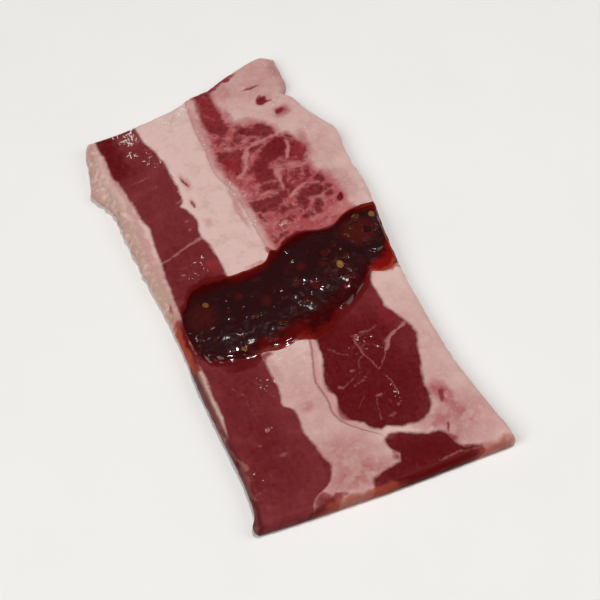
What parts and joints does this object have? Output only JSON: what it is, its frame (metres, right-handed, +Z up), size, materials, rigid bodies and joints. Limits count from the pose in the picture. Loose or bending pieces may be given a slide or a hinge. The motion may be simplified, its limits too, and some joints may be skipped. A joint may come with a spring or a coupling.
{
  "type": "raw veal brisket slice with chilli sauce",
  "caption": "Thin raw brisket slice lying flat, lean and fat in bands along its length, with a thick band of chilli sauce across its middle.",
  "frame": {"origin": "middle of the underside", "axes": "+X across the slice from its outer fat rim, +Y along its length towards the end with the tab of fat, +Z up through its thickness"},
  "size_m": [0.0911, 0.1894, 0.0099],
  "materials": {
    "raw_meat": "moist raw meat: dark red lean in bands and a marbled eye, with pale pink fat between them, wet sheen",
    "sauce": "thick dark red chilli sauce with seeds and skin flakes, wet and glossy, brighter red where it is thin"
  },
  "bodies": {
    "root": {"brisket_slice": "raw_meat", "chilli_sauce": "sauce"}
  },
  "joints": []
}
